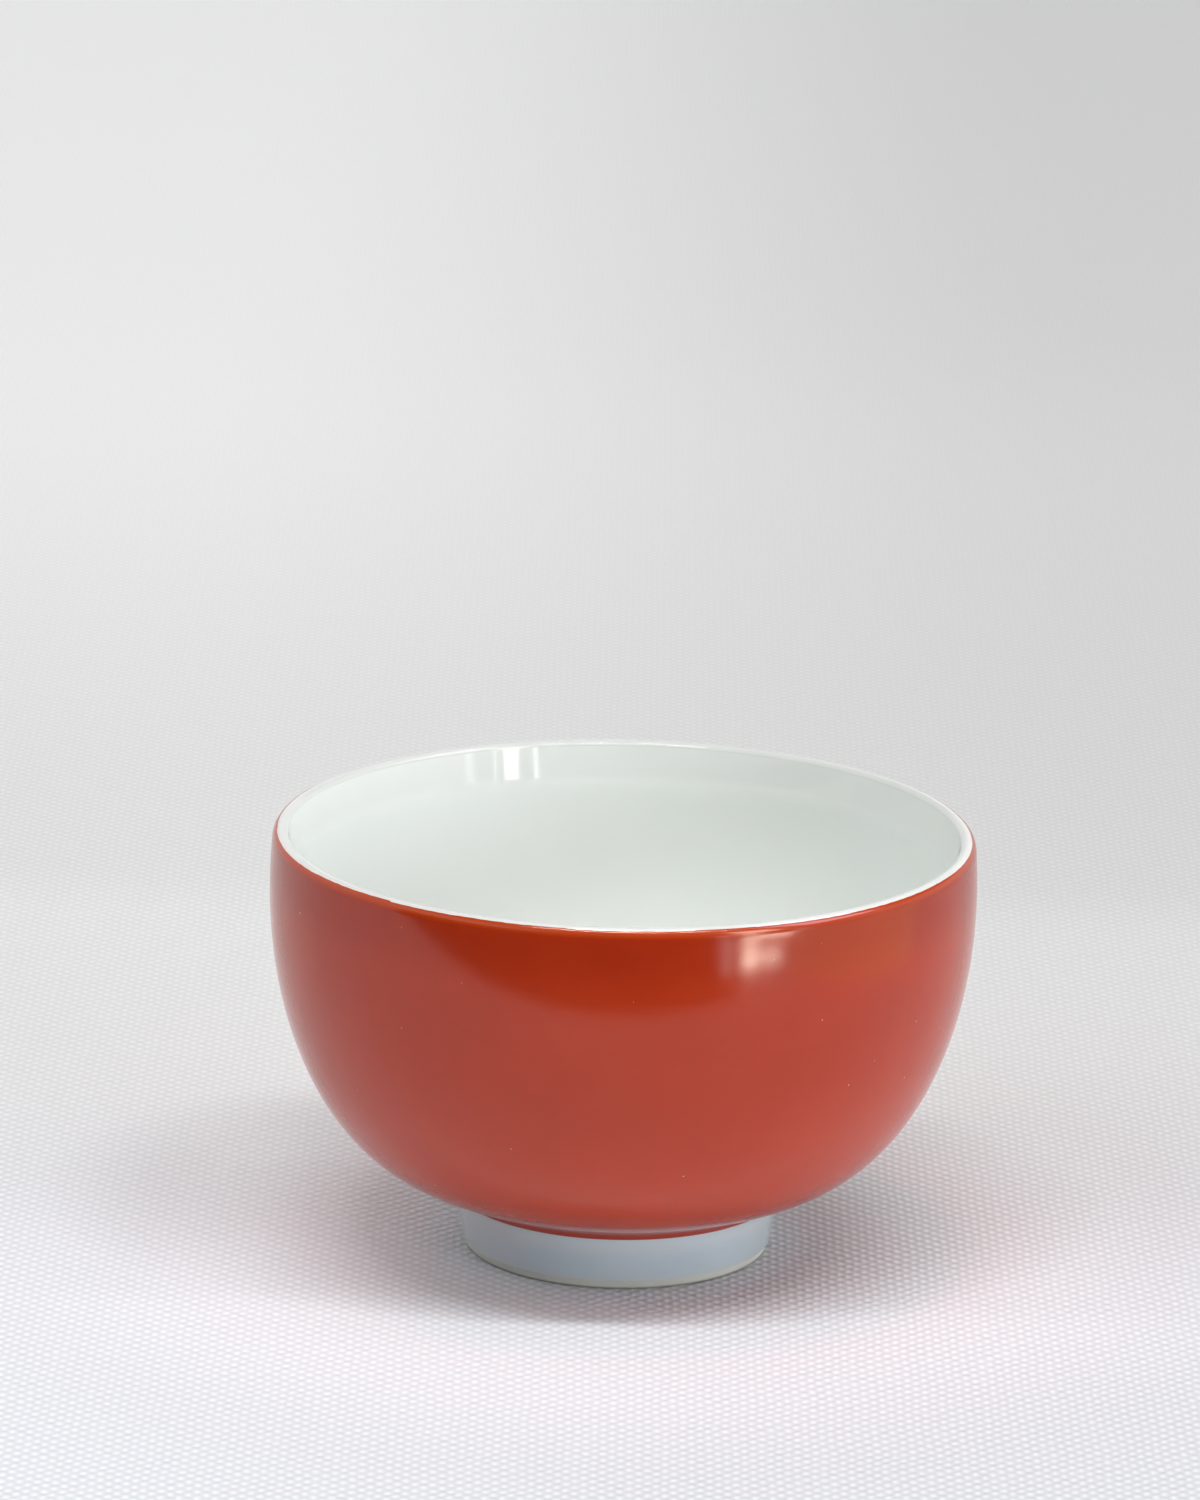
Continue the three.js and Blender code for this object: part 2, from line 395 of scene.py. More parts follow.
def inside(crest_end):
    flare = math.radians(LIP_FLARE)
    corner_r = crest_end.r - LIP_FLARE_DEPTH * math.tan(flare)
    corner_z = crest_end.z - LIP_FLARE_DEPTH
    cut = LIP_FLARE_ROUND * math.tan(flare / 2)
    centre = (corner_r + LIP_FLARE_ROUND, corner_z - cut)
    turn = rounding(centre, LIP_FLARE_ROUND, 180 - LIP_FLARE, 180, FLARE_STEPS)
    high = (corner_r, corner_z - cut)
    high_pull = (high[0], high[1] - INSIDE_FULLNESS * (corner_z - FLOOR_HEIGHT) + cut)
    low_pull = (FLOOR_FULLNESS * high[0], FLOOR_HEIGHT)
    wall_and_floor = bend(high, high_pull, low_pull, (0, FLOOR_HEIGHT), INSIDE_STEPS)
    wall_and_floor[-1] = Station(0, FLOOR_HEIGHT, 0, 1)
    return [crest_end, *joined(turn, wall_and_floor)]


def recess():
    radius = foot_wall(BARE_EDGE_HEIGHT).r - FOOT_EDGE_WIDTH
    ceiling = FOOT_SEAM_HEIGHT - GLAZE_THICKNESS
    corner = (radius - RECESS_CORNER_RADIUS, ceiling - RECESS_CORNER_RADIUS)
    hollow = rounding(corner, -RECESS_CORNER_RADIUS, 270, 180, RECESS_CORNER_STEPS)
    middle = [Station(radius * share, ceiling, 0, -1) for share in RECESS_RINGS]
    return [*middle, *hollow, Station(radius, BARE_EDGE_HEIGHT, -1, 0)]


def skin_runs():
    """The cup's skin in the runs that its coats cover, each with the porcelain on its left."""
    enamel_tilt = -FOOT_TAPER - ENAMEL_LOWER_EDGE_TURN
    fillet = foot_fillet(enamel_tilt, UNDERSIDE_SLOPE - 90, ENAMELLED_FILLET_STEPS)
    shoulder = lip_shoulder(LIP_LEAN, SHOULDER_STEPS)
    crest = lip_crest()
    walls = joined(belly(fillet[-1]), upper_wall(shoulder[0]), shoulder)
    seam = FOOT_SEAM_HEIGHT - GLAZE_THICKNESS * math.sin(math.radians(FOOT_TAPER))
    rise = (seam - BARE_EDGE_HEIGHT) / FOOT_WALL_STEPS
    wall = [foot_wall(BARE_EDGE_HEIGHT + rise * i) for i in range(FOOT_WALL_STEPS + 1)]
    return {
        "foot": [*wall, *foot_fillet(-FOOT_TAPER, enamel_tilt, GLAZED_FILLET_STEPS)],
        "outside": [*fillet, *walls],
        "lip": crest,
        "inside": inside(crest[-1]),
        "recess": recess(),
    }


# Outlines of the pieces
def glaze_outline(run):
    skin = [sunk(point, 0) for point in run]
    back = [sunk(point, GLAZE_THICKNESS) for point in reversed(run)]
    if run[0].r == 0:
        return [*skin, *back]
    if run[-1].r == 0:
        return [*back, *skin]
    return [*skin, *back, skin[0]]


def path_lengths(run):
    lengths = [0]
    for before, point in zip(run, run[1:]):
        lengths.append(lengths[-1] + math.hypot(point.r - before.r, point.z - before.z))
    return lengths


def enamel_outline(run):
    lengths = path_lengths(run)
    skin = []
    for point, length in zip(run, lengths):
        share = min(1, min(length, lengths[-1] - length) / ENAMEL_EDGE_FADE)
        thickness = ENAMEL_EDGE_THICKNESS + (ENAMEL_THICKNESS - ENAMEL_EDGE_THICKNESS) * share**0.5
        skin.append(sunk(point, -thickness))
    back = [sunk(point, 0) for point in reversed(run)]
    return [*skin, *back, skin[0]]


def bowl_outline(skin):
    run = joined(skin["foot"][FOOT_WALL_STEPS:], skin["outside"], skin["lip"], skin["inside"])
    shell = [sunk(point, GLAZE_THICKNESS) for point in run]
    return [(0, FOOT_SEAM_HEIGHT), *shell]


def foot_bevel(contact, width, angle):
    return (contact + width * math.sin(angle), FOOT_BEVEL_HEIGHT * (1 - math.cos(angle)))


def foot_ring_outline(skin):
    outer = sunk(skin["foot"][0], GLAZE_THICKNESS)
    seam = sunk(skin["foot"][FOOT_WALL_STEPS], GLAZE_THICKNESS)
    inner = skin["recess"][-1].r + GLAZE_THICKNESS
    bevel = sunk(foot_wall(FOOT_BEVEL_HEIGHT), GLAZE_THICKNESS)
    contact = bevel[0] - FOOT_BEVEL_WIDTH
    inner_contact = inner + FOOT_BEVEL_WIDTH
    angles = [math.radians(90 * i / FOOT_BEVEL_STEPS) for i in range(FOOT_BEVEL_STEPS + 1)]
    outer_round = [foot_bevel(contact, FOOT_BEVEL_WIDTH, angle) for angle in angles]
    inner_round = [foot_bevel(inner_contact, -FOOT_BEVEL_WIDTH, angle) for angle in reversed(angles)]
    top = [(seam[0], FOOT_SEAM_HEIGHT), (inner, FOOT_SEAM_HEIGHT)]
    return [*outer_round, outer, *top, *inner_round, outer_round[0]]


# Modelling
def deselect_all():
    bpy.ops.object.select_all(action="DESELECT")


def turned(name, outline, wedge_steps):
    """Draws an outline in the XZ plane, spins a wedge of it, and doubles that until it closes."""
    deselect_all()
    bpy.ops.mesh.primitive_plane_add(size=GLAZE_THICKNESS, location=(0, 0, 0))
    piece = bpy.context.object
    piece.name = name
    piece.data.name = name
    bpy.ops.object.mode_set(mode="EDIT")
    bpy.ops.mesh.select_all(action="SELECT")
    bpy.ops.mesh.merge(type="CENTER")
    bpy.ops.transform.translate(value=(outline[0][0], 0, outline[0][1]))
    for (r, z), (next_r, next_z) in zip(outline, outline[1:]):
        move = {"value": (next_r - r, 0, next_z - z)}
        bpy.ops.mesh.extrude_vertices_move(TRANSFORM_OT_translate=move)
    bpy.ops.mesh.select_all(action="SELECT")
    wedge = 2 * math.pi / 2**DOUBLINGS
    bpy.ops.mesh.spin(steps=wedge_steps, angle=wedge, center=(0, 0, 0), axis=(0, 0, 1))
    for doubling in range(DOUBLINGS):
        bpy.ops.mesh.select_all(action="SELECT")
        bpy.ops.mesh.duplicate()
        angle = wedge * 2**doubling
        bpy.ops.transform.rotate(value=angle, orient_axis="Z", center_override=(0, 0, 0))
    bpy.ops.mesh.select_all(action="SELECT")
    bpy.ops.mesh.remove_doubles(threshold=MERGE_DISTANCE)
    bpy.ops.mesh.normals_make_consistent(inside=False)
    bpy.ops.object.mode_set(mode="OBJECT")
    bpy.ops.object.shade_smooth_by_angle(angle=math.radians(SHARP_EDGE))
    return piece


def brush_edge():
    """The height of the hand-painted edge round the lip: strokes that each start with a small step."""
    chance = random.Random(BRUSH_SEED)
    strokes = []
    angle = 0
    while angle < 2 * math.pi:
        step = chance.uniform(-STROKE_STEP, STROKE_STEP)
        drift = chance.uniform(-STROKE_STEP, STROKE_STEP)
        strokes.append((angle, step, drift))
        angle += chance.uniform(*STROKE_LENGTHS)
    waves = []
    for _ in range(BRISTLE_WAVES):
        count = chance.randint(*BRISTLE_COUNTS)
        waves.append((count, chance.uniform(0, 2 * math.pi)))

    def height(at):
        start, step, drift = [stroke for stroke in strokes if stroke[0] <= at][-1]
        after = [stroke[0] for stroke in strokes if stroke[0] > at] + [2 * math.pi]
        share = (at - start) / (after[0] - start)
        bristles = sum(math.sin(count * at + phase) for count, phase in waves)
        return step + drift * share + BRISTLE_HEIGHT * bristles

    return height


def paint_upper_edge(enamel):
    """Moves the enamel's upper edge up and down the round of the lip, as a brush leaves it."""
    height = brush_edge()
    centre_r, centre_z = shoulder_centre()
    edge_tilt = math.radians(ENAMEL_UPPER_EDGE_TILT)
    for vertex in enamel.data.vertices:
        x, y, z = vertex.co
        r = math.hypot(x, y)
        tilt = math.atan2(z - centre_z, r - centre_r)
        below = (edge_tilt - tilt) * LIP_SHOULDER_RADIUS
        if below > BRUSH_REACH or r < centre_r or z < centre_z:
            continue
        share = (1 - max(0, below) / BRUSH_REACH) ** 2
        at = math.atan2(y, x) % (2 * math.pi)
        new_tilt = tilt + height(at) * share / LIP_SHOULDER_RADIUS
        radius = math.hypot(r - centre_r, z - centre_z)
        new_r = centre_r + radius * math.cos(new_tilt)
        new_z = centre_z + radius * math.sin(new_tilt)
        vertex.co = (x * new_r / r, y * new_r / r, new_z)
    enamel.data.update()


# Materials
class Value:
    """A socket in a material. Arithmetic on it adds Math nodes."""

    def __init__(self, finish, socket):
        self.finish = finish
        self.socket = socket

    def maths(self, operation, *terms):
        return self.finish.add("ShaderNodeMath", {"operation": operation}, dict(enumerate(terms)))

    def __add__(self, other):
        return self.maths("ADD", self, other)

    def __sub__(self, other):
        return self.maths("SUBTRACT", self, other)

    def __rsub__(self, other):
        return self.maths("SUBTRACT", other, self)

    def __mul__(self, other):
        return self.maths("MULTIPLY", self, other)

    __radd__ = __add__
    __rmul__ = __mul__

    def cosine(self):
        return self.maths("COSINE", self)


class Finish:
    """One material, and the short ways in which its nodes are added."""

    def __init__(self, name):
        self.material = bpy.data.materials.new(name)
        self.material.use_nodes = True
        self.tree = self.material.node_tree
        self.shader = self.tree.nodes["Principled BSDF"]
        self.place = self.add("ShaderNodeTexCoord", out="Object")

    def add(self, kind, settings=None, inputs=None, out=0):
        node = self.tree.nodes.new(kind)
        for name, setting in (settings or {}).items():
            setattr(node, name, setting)
        for name, value in (inputs or {}).items():
            self.feed(node.inputs[name], value)
        return Value(self, node.outputs[out])

    def feed(self, socket, value):
        if isinstance(value, Value):
            self.tree.links.new(value.socket, socket)
        else:
            socket.default_value = value

    @staticmethod
    def solid(colour):
        """Gives a plain colour its alpha. A Value passes as it is."""
        return colour if isinstance(colour, Value) else (*colour, 1)

    def multiplied(self, vector, factors):
        return self.add("ShaderNodeVectorMath", {"operation": "MULTIPLY"}, {0: vector, 1: factors})

    def dimmed(self, colour, share):
        return self.add("ShaderNodeVectorMath", {"operation": "SCALE"}, {0: colour, "Scale": share})

    def mixed(self, share, low, high):
        """The colour `low` where the share is 0, and `high` where it is 1."""
        share_socket, low_socket, high_socket, result_socket = 0, 6, 7, 2
        inputs = {share_socket: share, low_socket: self.solid(low), high_socket: self.solid(high)}
        return self.add("ShaderNodeMix", {"data_type": "RGBA"}, inputs, result_socket)

    def noise(self, size, detail, stretch=(1, 1, 1)):
        """A noise whose blobs are about `size` metres across, longer along an axis by its stretch."""
        vector = self.multiplied(self.place, tuple(1 / (size * longer) for longer in stretch))
        inputs = {"Vector": vector, "Scale": 1, "Detail": detail}
        return self.add("ShaderNodeTexNoise", {"noise_dimensions": "3D"}, inputs, "Fac")

    def spots(self, spacing, radius):
        """1 in a few small round spots, 0 elsewhere."""
        vector = self.multiplied(self.place, (1 / spacing,) * 3)
        inputs = {"Vector": vector, "Scale": 1}
        distance = self.add("ShaderNodeTexVoronoi", {"feature": "F1"}, inputs, "Distance")
        return self.ease(distance, radius / spacing, 0.5 * radius / spacing)

    def ease(self, value, low, high, low_result=0, high_result=1):
        """Turns softly from `low_result` at the value `low` to `high_result` at `high`."""
        inputs = {
            "Value": value,
            "From Min": low,
            "From Max": high,
            "To Min": low_result,
            "To Max": high_result,
        }
        return self.add("ShaderNodeMapRange", {"interpolation_type": "SMOOTHSTEP"}, inputs, "Result")

    def axis(self, name):
        return self.add("ShaderNodeSeparateXYZ", None, {"Vector": self.place}, name)

    def from_axis(self):
        flat = self.multiplied(self.place, (1, 1, 0))
        return self.add("ShaderNodeVectorMath", {"operation": "LENGTH"}, {0: flat}, "Value")

    def relief(self, height, depth):
        """A bump whose height runs from 0 to 1 over `depth` metres."""
        inputs = {"Height": height, "Distance": depth, "Strength": 1}
        normal = self.add("ShaderNodeBump", None, inputs, "Normal")
        self.feed(self.shader.inputs["Normal"], normal)

    def surface(self, colour, roughness, **constants):
        self.feed(self.shader.inputs["Base Color"], self.solid(colour))
        self.feed(self.shader.inputs["Roughness"], roughness)
        for name, value in constants.items():
            self.shader.inputs[name.replace("_", " ")].default_value = value


def below_top(depths):
    return [CUP_HEIGHT - depth for depth in depths]


def red_enamel():
    finish = Finish("red_enamel")
    height = finish.axis("Z")
    cloud = finish.noise(ENAMEL_CLOUD, 3)
    streak = finish.noise(ENAMEL_STREAK, 2, ENAMEL_STREAK_STRETCH)
    brushed = cloud * 0.30 + streak * 0.10
    # Painted light and shade: the enamel is darker near the lip, lighter down the belly, where the cloth
    # lights it, and darker again on the underside over the foot, in its shade.
    painted_light_below_shoulder = finish.ease(height, *PAINTED_LIGHT_BELOW_SHOULDER_Z, 0, 0.33)
    painted_light_on_enamel = painted_light_below_shoulder + finish.ease(height, *PAINTED_LIGHT_LOW_ON_BELLY_Z, 0, 0.27)
    painted_shade_over_foot = finish.ease(height, *PAINTED_SHADE_OVER_FOOT_Z, 0, 0.25)
    tone = finish.mixed(brushed + painted_light_on_enamel - painted_shade_over_foot, ENAMEL_DARK, ENAMEL_LIGHT)
    thin_top = finish.ease(height, *below_top(ENAMEL_THIN_DEPTH))
    tone = finish.mixed(thin_top * 0.5, tone, ENAMEL_THIN)
    pinholes = finish.spots(PINHOLE_SPACING, PINHOLE_RADIUS)
    tone = finish.mixed(pinholes * 0.7, tone, PINHOLE)
    skin = finish.noise(ENAMEL_SKIN, 2)
    finish.relief(skin * 0.5 - pinholes, ENAMEL_SKIN_RELIEF)
    duller = finish.ease(height, *UNDERSIDE_DULL_Z, 0, 0.25)
    roughness = finish.ease(streak, 0.3, 0.7, *ENAMEL_ROUGHNESS) + duller
    finish.surface(tone, roughness, IOR=GLAZE_IOR)
    return finish.material


def celadon_glaze():
    finish = Finish("celadon_glaze")
    height = finish.axis("Z")
    cloud = finish.noise(CELADON_CLOUD, 2)
    # Painted light and shade: paler on the left wall and darker towards the right, with a random cloud
    # of deeper glaze.
    painted_shade_to_right = finish.ease(finish.axis("X"), *CELADON_PAINTED_SHADE_X)
    tone = finish.mixed(cloud * 0.4 + painted_shade_to_right * 0.6, CELADON_PALE, CELADON_DEEP_AND_SHADED)
    # Painted shade: the glaze is darker on the flare just under the lip, which the lamps overhead light
    # more.
    flare = finish.ease(height, *below_top(CELADON_PAINTED_SHADE_DEPTH))
    tone = finish.mixed(flare * 0.35, tone, CELADON_PAINTED_SHADE_ON_FLARE)
    finish.relief(finish.noise(GLAZE_WAVE, 1), GLAZE_WAVE_RELIEF)
    finish.surface(tone, CELADON_ROUGHNESS, IOR=GLAZE_IOR)
    return finish.material


def lip_glaze():
    finish = Finish("lip_glaze")
    cloud = finish.noise(SMALL_CLOUD, 2)
    tone = finish.mixed(cloud, LIP_DARK, LIP_LIGHT)
    radii = [lip_centre[0] + offset for offset in LIP_INNER_OFFSET]
    inwards = finish.ease(finish.from_axis(), *radii)
    tone = finish.mixed(inwards, tone, LIP_INNER)
    finish.relief(finish.noise(GLAZE_WAVE, 1), GLAZE_WAVE_RELIEF)
    finish.surface(tone, LIP_ROUGHNESS, IOR=GLAZE_IOR)
    return finish.material


def foot_glaze():
    finish = Finish("foot_glaze")
    height = finish.axis("Z")
    right = finish.axis("X")
    cloud = finish.noise(SMALL_CLOUD, 2)
    tone = finish.mixed(cloud, FOOT_DEEP, FOOT_PALE)
    thin_top = finish.ease(height, FOOT_TOP_HEIGHT - FOOT_THIN_TOP_WIDTH, FOOT_TOP_HEIGHT)
    tone = finish.mixed(thin_top * 0.4, tone, FOOT_THIN_TOP)
    thin_edge = finish.ease(height, BARE_EDGE_HEIGHT + FOOT_THIN_EDGE_WIDTH, BARE_EDGE_HEIGHT)
    tone = finish.mixed(thin_edge * 0.7, tone, FOOT_THIN_EDGE)
    # Painted light on the left of the foot, and painted shade at its right edge.
    tone = finish.mixed(finish.ease(right, *FOOT_PAINTED_LIGHT_X) * 0.45, tone, FOOT_PAINTED_LIGHT)
    tone = finish.mixed(finish.ease(right, *FOOT_PAINTED_SHADE_X) * 0.5, tone, FOOT_PAINTED_SHADE)
    finish.relief(finish.noise(FOOT_WAVE, 2), FOOT_WAVE_RELIEF)
    finish.surface(tone, FOOT_ROUGHNESS, IOR=GLAZE_IOR)
    return finish.material


def biscuit():
    finish = Finish("biscuit")
    grain = finish.noise(BISCUIT_GRAIN, 3)
    cloud = finish.noise(BISCUIT_CLOUD, 3)
    tone = finish.mixed(cloud * 0.6 + grain * 0.4, BISCUIT_DARK, BISCUIT_LIGHT)
    # Painted shadow: the bottom of the foot ring is darkened where it stands on the cloth.
    painted_contact_shadow = finish.ease(finish.axis("Z"), *BISCUIT_CONTACT_SHADOW_Z)
    tone = finish.mixed(painted_contact_shadow * 0.8, tone, BISCUIT_PAINTED_CONTACT_SHADOW)
    finish.relief(grain, BISCUIT_GRAIN_RELIEF)
    finish.surface(tone, BISCUIT_ROUGHNESS)
    return finish.material


# Pieces
def cup_pieces():
    skin = skin_runs()
    tuck = lip_shoulder(ENAMEL_UPPER_EDGE_TILT - LIP_GLAZE_TUCK, TUCK_STEPS)
    lip_run = joined(tuck, skin["lip"])
    under_run = [point for point in skin["outside"] if point.z <= tuck[0].z]
    under_run.append(tuck[0])
    finishes = {
        "biscuit": biscuit(),
        "celadon_glaze": celadon_glaze(),
        "lip_glaze": lip_glaze(),
        "foot_glaze": foot_glaze(),
        "red_enamel": red_enamel(),
    }
    rows = (
        ("bowl", "porcelain_bowl", bowl_outline(skin), WEDGE_STEPS_HIDDEN, "biscuit"),
        ("ring", "foot_ring", foot_ring_outline(skin), WEDGE_STEPS_GLAZE, "biscuit"),
        ("lining", "inside_glaze", glaze_outline(skin["inside"]), WEDGE_STEPS_GLAZE, "celadon_glaze"),
        ("lip", "lip_glaze", glaze_outline(lip_run), WEDGE_STEPS_GLAZE, "lip_glaze"),
        ("under_coat", "outside_glaze", glaze_outline(under_run), WEDGE_STEPS_HIDDEN, "celadon_glaze"),
        ("foot_coat", "foot_glaze", glaze_outline(skin["foot"]), WEDGE_STEPS_GLAZE, "foot_glaze"),
        ("recess_coat", "recess_glaze", glaze_outline(skin["recess"]), WEDGE_STEPS_GLAZE, "foot_glaze"),
        ("enamel_coat", "red_enamel", enamel_outline(skin["outside"]), WEDGE_STEPS_ENAMEL, "red_enamel"),
    )
    for name, node, outline, wedge_steps, slot in rows:
        piece = turned(name, outline, wedge_steps)
        piece.data.materials.append(finishes[slot])
        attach(piece, "root")
        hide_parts(node)
    paint_upper_edge(bpy.data.objects["enamel_coat"])


# Table cloth
def weave_height(finish, right, back):
    """A plain weave, about 0 in the gaps and 1 on the threads, uneven as yarn and calmer far behind."""
    drift = (finish.noise(THREAD_DRIFT_SIZE, 2) - 0.5) * THREAD_DRIFT
    across = (right + drift) * (math.pi / THREAD_PITCH)
    along = (back - drift) * (math.pi / THREAD_PITCH)
    checks = across.cosine() * along.cosine()
    ribs = (across * 2).cosine()
    plump = finish.noise(SLUB_SIZE, 1, SLUB_STRETCH) * 0.6 + 0.15
    near = finish.ease(back, *WEAVE_CALM_Y, 0.25, 1)
    return (checks * plump + ribs * 0.10) * near + 0.5


def painted_light_and_shade_on_cloth(finish, right, back, left_side):
    """Painted light and shade on the cloth: 1 where it has its own tone, less behind the cup, and more
    close round its front.
    """
    behind = finish.ease(back, *SHADE_Y, 0.08, 0.42) + finish.ease(back, *DEEPER_SHADE_Y, 0, 0.20)
    far_behind = finish.ease(back, *FAR_LIGHT_Y, 0, 0.50)
    behind_right = finish.ease(right, *RIGHT_SHADE_X) * finish.ease(back, *RIGHT_SHADE_Y, 0.29, 0.95)
    before_foot = finish.ease(finish.from_axis(), *FOOT_LIGHT_REACH) * finish.ease(back, *FOOT_LIGHT_Y)
    left_flank = left_side * finish.ease(right, *LEFT_FLANK_X) * finish.ease(back, *LEFT_FLANK_Y)
    right_flank = finish.ease(right, *RIGHT_FLANK_START_X) * finish.ease(right, *RIGHT_FLANK_END_X)
    right_flank = right_flank * finish.ease(back, *RIGHT_FLANK_Y)
    flanks = (left_flank * 0.14 + right_flank * 0.06) * finish.ease(back, *FLANKS_END_Y)
    return 1 - (behind - far_behind + behind_right) * 0.25 + before_foot * 0.10 + flanks


def pale_cloth():
    finish = Finish("pale_cloth")
    right, back = finish.axis("X"), finish.axis("Y")
    weave = weave_height(finish, right, back)
    # Painted light: threads and gaps turn bluer in front of the cup.
    front = finish.ease(back, *CLOTH_FRONT_Y)
    thread = finish.mixed(front, THREAD_BEHIND, THREAD_IN_FRONT)
    gap = finish.mixed(front, GAP_BEHIND, GAP_IN_FRONT)
    tone = finish.mixed(weave, gap, thread)
    left_side = finish.ease(right, *CLOTH_LEFT_X)
    # Painted light and shade on the cloth by place round the cup
    tone = finish.dimmed(tone, painted_light_and_shade_on_cloth(finish, right, back, left_side))
    # Painted: the cloth in the cup's shadow round its foot is tinted less red, against the red light
    # bounced there from the enamel.
    painted_shadow_cooling = finish.ease(finish.from_axis(), *SHADOW_COOLING_REACH) * (1 - left_side)
    tone = finish.multiplied(tone, finish.mixed(painted_shadow_cooling, WHITE, SHADOW_COOLING_TINT))
    finish.relief(weave, THREAD_RELIEF)
    finish.surface(tone, CLOTH_ROUGHNESS)
    return finish.material


def table():
    deselect_all()
    bpy.ops.mesh.primitive_plane_add(size=2 * CLOTH_REACH, location=(0, 0, 0))
    floor = bpy.context.object
    floor.name = "table_cloth"
    floor.data.materials.append(pale_cloth())


# Lamps and room
def direction(azimuth, elevation):
    """From the cup outwards. Azimuth 0 is towards the photograph's camera, and 90 to its right."""
    turn, rise = math.radians(azimuth), math.radians(elevation)
    return Vector((math.sin(turn) * math.cos(rise), -math.cos(turn) * math.cos(rise), math.sin(rise)))


def soft_lamp(name, azimuth, elevation, spread, watts, colour=WHITE, shift=0):
    """A lamp that fills `spread` degrees to each side and up and down, as seen from the cup."""
    light = bpy.data.lights.new(name, "AREA")
    light.shape = "RECTANGLE"
    light.size, light.size_y = (2 * LAMP_DISTANCE * math.tan(math.radians(half)) for half in spread)
    light.energy = watts
    light.color = colour
    lamp = bpy.data.objects.new(name, light)
    bpy.context.scene.collection.objects.link(lamp)
    way = direction(azimuth, elevation)
    lamp.location = CAMERA_AIM + way * LAMP_DISTANCE + Vector((shift, 0, 0))
    lamp.rotation_mode = "QUATERNION"
    lamp.rotation_quaternion = way.to_track_quat("Z", "Y")
    lamp.visible_camera = False
    lamp.visible_glossy = False


def lamps():
    soft_lamp("overhead_strip", 0, 71.7, (24, 2.5), 53, (1.0, 0.975, 0.965), OVERHEAD_SHIFT)
    soft_lamp("ceiling_lamp", 0, 90, (18, 18), 11, (1.0, 0.97, 0.95))
    soft_lamp("front_left_lamp", -53, 43, (22, 18), 26, (0.92, 0.98, 1.0))
    soft_lamp("window_lamp", 47, 7, (18, 7), 37, (0.97, 0.985, 1.0))
    soft_lamp("right_lamp", 118, 12, (38, 12), 43, (0.925, 0.975, 1.0))
    soft_lamp("right_high_lamp", 60, 58, (15, 12), 9)
    soft_lamp("back_left_lamp", -132, 16, (26, 13), 25)
    soft_lamp("back_lamp", 180, 25, (22, 18), 17)


def room():
    """A pale room that shows in the gloss of the glaze and lights the cup a little."""
    world = bpy.data.worlds.new("pale_room")
    world.use_nodes = True
    nodes = world.node_tree.nodes
    links = world.node_tree.links
    background = nodes["Background"]
    background.inputs["Color"].default_value = (*ROOM_COLOUR, 1)
    path = nodes.new("ShaderNodeLightPath")
    strength = nodes.new("ShaderNodeMapRange")
    strength.inputs["To Min"].default_value = ROOM_LIGHT
    strength.inputs["To Max"].default_value = ROOM_IN_GLOSS
    links.new(path.outputs["Is Glossy Ray"], strength.inputs["Value"])
    links.new(strength.outputs["Result"], background.inputs["Strength"])
    bpy.context.scene.world = world


# Cards that only the gloss of the cup shows
def card(name, corners, colour, glow=0):
    """A dull sheet between four corners, counted round it, that may also glow."""
    finish = Finish(name)
    emission = {"Emission_Color": (*colour, 1), "Emission_Strength": glow}
    finish.surface(colour, 1.0, Specular_IOR_Level=0.0, **emission)
    deselect_all()
    bpy.ops.mesh.primitive_plane_add(size=1, location=(0, 0, 0))
    made = bpy.context.object
    made.name = name
    first, second, third, fourth = corners
    for vertex, corner in zip(made.data.vertices, (first, second, fourth, third)):
        vertex.co = corner
    made.data.materials.append(finish.material)
    made.visible_camera = False
    made.visible_diffuse = False
    made.visible_transmission = False
    made.visible_volume_scatter = False
    made.visible_shadow = False


def place_at(azimuth, distance, height):
    return (*(CARD_VIEWPOINT + direction(azimuth, 0) * distance).xy, height)


def standing(left, right, distance, low, high):
    bottom = [place_at(azimuth, distance, low) for azimuth in (left, right)]
    top = [place_at(azimuth, distance, high) for azimuth in (right, left)]
    return (*bottom, *top)


def lying(left, right, near, far, height=CARD_LIFT):
    """Corners at one height between two azimuths. The near distance may be one number or one a side."""
    near_left, near_right = near if isinstance(near, tuple) else (near, near)
    return (
        place_at(left, near_left, height),
        place_at(right, near_right, height),
        place_at(right, far, height),
        place_at(left, far, height),
    )


def overhead(x, y, half_width, half_length, height):
    signs = ((-1, -1), (1, -1), (1, 1), (-1, 1))
    return [(x + half_width * side, y + half_length * end, height) for side, end in signs]


def cloth_end(azimuth):
    """How far the cloth reaches in this direction, to its straight front edge."""
    return (CLOTH_EDGE + CARD_VIEWPOINT.y) / math.cos(math.radians(azimuth))


def dark_front():
    """The dark side of the room, behind the photograph's camera."""
    for i in range(DARK_PANELS):
        left, right = (DARK_LEFT + (DARK_RIGHT - DARK_LEFT) * (i + end) / DARK_PANELS for end in (0, 1))
        cloth_ends = (cloth_end(left), cloth_end(right))
        card(f"dark_panel_{i}", standing(left, right, ROOM_REACH, 0, CEILING_HEIGHT), DARK)
        card(f"dark_floor_{i}", lying(left, right, cloth_ends, ROOM_REACH), DARK)
    corners = overhead(DARK_CEILING_X, 0, DARK_CEILING_HALF_WIDTH, ROOM_REACH, CEILING_HEIGHT)
    card("dark_ceiling", corners, GREY, 1)


def on_table(name, left, right, near, far, colour, glow=0):
    card(name, lying(left, right, near, far, UPPER_CARD_LIFT), colour, glow)


